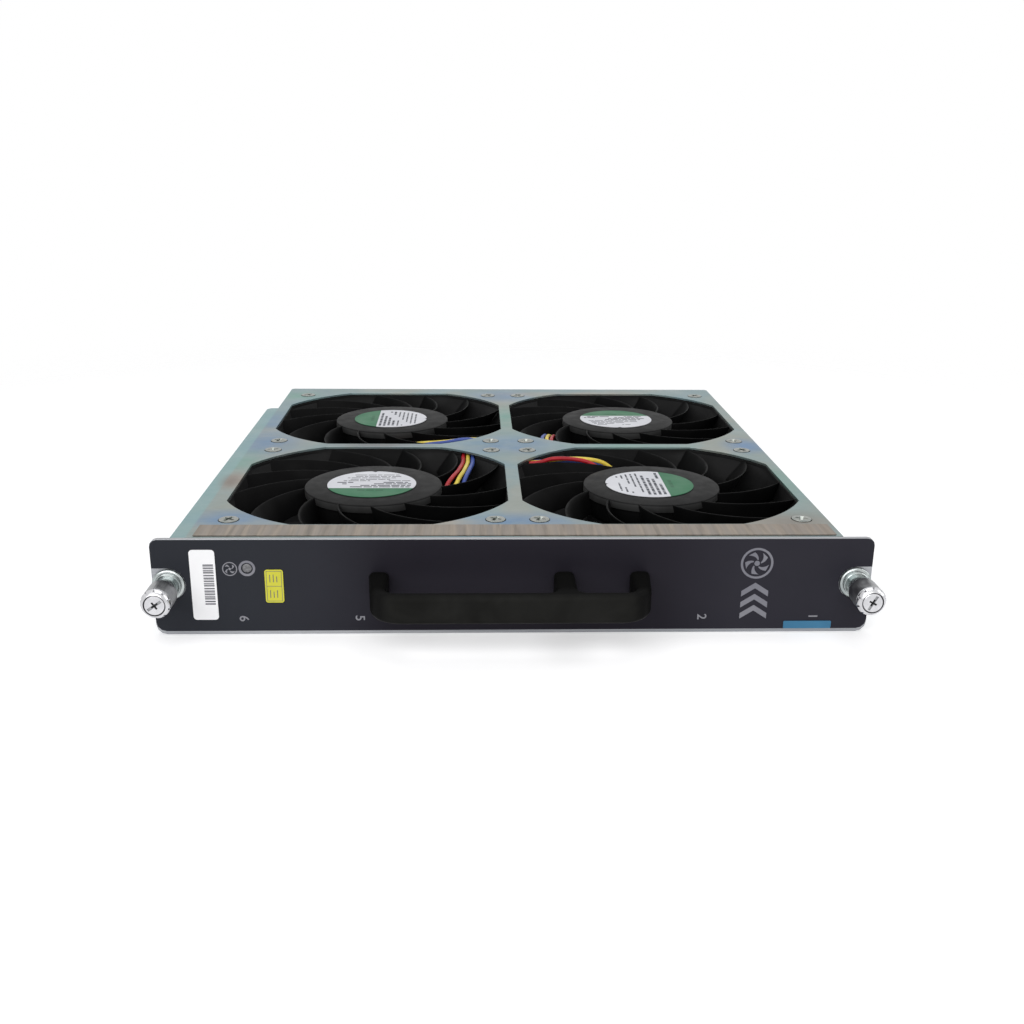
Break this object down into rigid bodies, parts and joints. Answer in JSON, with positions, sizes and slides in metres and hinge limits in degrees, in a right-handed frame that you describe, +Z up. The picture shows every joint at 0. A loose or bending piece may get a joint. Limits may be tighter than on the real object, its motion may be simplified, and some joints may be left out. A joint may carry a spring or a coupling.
{
  "type": "switch fan tray",
  "caption": "Slide-in fan tray for a rack chassis: axial fans under a sheet-metal deck, faceplate with pull handle and captive screws, blind-mate plug at the rear.",
  "frame": {"origin": "on the resting face under the middle of the whole length and width", "axes": "+Y from the faceplate to the rear plug, +X to the right seen from the front, +Z up out of the fan deck"},
  "size_m": [0.273, 0.306, 0.0384],
  "materials": {
    "plated_steel": "zinc-plated sheet, chromated, with a faint rainbow tint",
    "gasket_cloth": "conductive cloth strip with fine streaks",
    "bare_steel": "plated sheet edge",
    "overlay_film": "dark grey printed film",
    "label_paper": "white coated label",
    "yellow_film": "yellow label",
    "blue_film": "blue label",
    "handle_plastic": "black moulded plastic",
    "zinc_screws": "bright zinc",
    "knob_steel": "dark knurled sleeve with a polished end ring",
    "spring_steel": "spring wire",
    "fan_plastic": "black glass-filled plastic",
    "rotor_plastic": "black plastic",
    "coil_copper": "lacquered copper windings",
    "lead_jackets": "PVC insulation in red, yellow and blue",
    "cable_jacket": "dark cable jacket",
    "plug_plastic": "black connector plastic with gold contacts",
    "board_green": "green solder mask",
    "led_lens": "clear light pipe"
  },
  "bodies": {
    "tray": {"fan_deck": "plated_steel", "tray_pan": "plated_steel", "emi_gasket": "gasket_cloth", "faceplate": "bare_steel", "face_overlay": "overlay_film", "white_sticker": "label_paper", "fan_1_label": "label_paper", "fan_2_label": "label_paper", "fan_3_label": "label_paper", "fan_4_label": "label_paper", "yellow_sticker": "yellow_film", "blue_sticker": "blue_film", "pull_handle": "handle_plastic", "deck_screw_01": "zinc_screws", "deck_screw_02": "zinc_screws", "deck_screw_03": "zinc_screws", "deck_screw_04": "zinc_screws", "deck_screw_05": "zinc_screws", "deck_screw_06": "zinc_screws", "deck_screw_07": "zinc_screws", "deck_screw_08": "zinc_screws", "deck_screw_09": "zinc_screws", "deck_screw_10": "zinc_screws", "deck_screw_11": "zinc_screws", "deck_screw_12": "zinc_screws", "deck_screw_13": "zinc_screws", "deck_screw_14": "zinc_screws", "deck_screw_15": "zinc_screws", "deck_screw_16": "zinc_screws", "handle_screw_1": "zinc_screws", "handle_screw_2": "zinc_screws", "handle_screw_3": "zinc_screws", "left_screw_ferrule": "zinc_screws", "right_screw_ferrule": "zinc_screws", "left_screw_spring": "spring_steel", "right_screw_spring": "spring_steel", "fan_1_frame": "fan_plastic", "fan_2_frame": "fan_plastic", "fan_3_frame": "fan_plastic", "fan_4_frame": "fan_plastic", "fan_1_motor_coils": "coil_copper", "fan_2_motor_coils": "coil_copper", "fan_3_motor_coils": "coil_copper", "fan_4_motor_coils": "coil_copper", "fan_1_leads": "lead_jackets", "fan_2_leads": "lead_jackets", "fan_3_leads": "lead_jackets", "fan_4_leads": "lead_jackets", "status_cable": "cable_jacket", "rear_plug": "plug_plastic", "status_board": "board_green", "status_led": "led_lens"},
    "fan_1_wheel": {"fan_1_rotor": "rotor_plastic"},
    "fan_2_wheel": {"fan_2_rotor": "rotor_plastic"},
    "fan_3_wheel": {"fan_3_rotor": "rotor_plastic"},
    "fan_4_wheel": {"fan_4_rotor": "rotor_plastic"},
    "left_collar": {"left_screw_collar": "zinc_screws"},
    "left_screw": {"left_captive_screw": "knob_steel"},
    "right_collar": {"right_screw_collar": "zinc_screws"},
    "right_screw": {"right_captive_screw": "knob_steel"}
  },
  "joints": [
    {"name": "fan_1_spin", "type": "hinge", "parent": "tray", "child": "fan_1_wheel", "pos_m": [-0.05965, -0.0479, 0.02], "axis": [0, 0, 1], "continuous": true},
    {"name": "fan_2_spin", "type": "hinge", "parent": "tray", "child": "fan_2_wheel", "pos_m": [0.06285, -0.0479, 0.02], "axis": [0, 0, 1], "continuous": true},
    {"name": "fan_3_spin", "type": "hinge", "parent": "tray", "child": "fan_3_wheel", "pos_m": [-0.05965, 0.0746, 0.02], "axis": [0, 0, 1], "continuous": true},
    {"name": "fan_4_spin", "type": "hinge", "parent": "tray", "child": "fan_4_wheel", "pos_m": [0.06285, 0.0746, 0.02], "axis": [0, 0, 1], "continuous": true},
    {"name": "left_screw_push", "type": "slide", "parent": "tray", "child": "left_collar", "axis": [0, 1, 0], "range_m": [0, 0.005], "stiffness_N_per_m": 300, "springref_m": -0.006, "deforming": ["left_screw_spring"]},
    {"name": "left_screw_turn", "type": "hinge", "parent": "left_collar", "child": "left_screw", "pos_m": [-0.1303, -0.13, 0.0206], "axis": [0, 1, 0], "continuous": true},
    {"name": "right_screw_push", "type": "slide", "parent": "tray", "child": "right_collar", "axis": [0, 1, 0], "range_m": [0, 0.005], "stiffness_N_per_m": 300, "springref_m": -0.006, "deforming": ["right_screw_spring"]},
    {"name": "right_screw_turn", "type": "hinge", "parent": "right_collar", "child": "right_screw", "pos_m": [0.1303, -0.13, 0.0206], "axis": [0, 1, 0], "continuous": true}
  ]
}
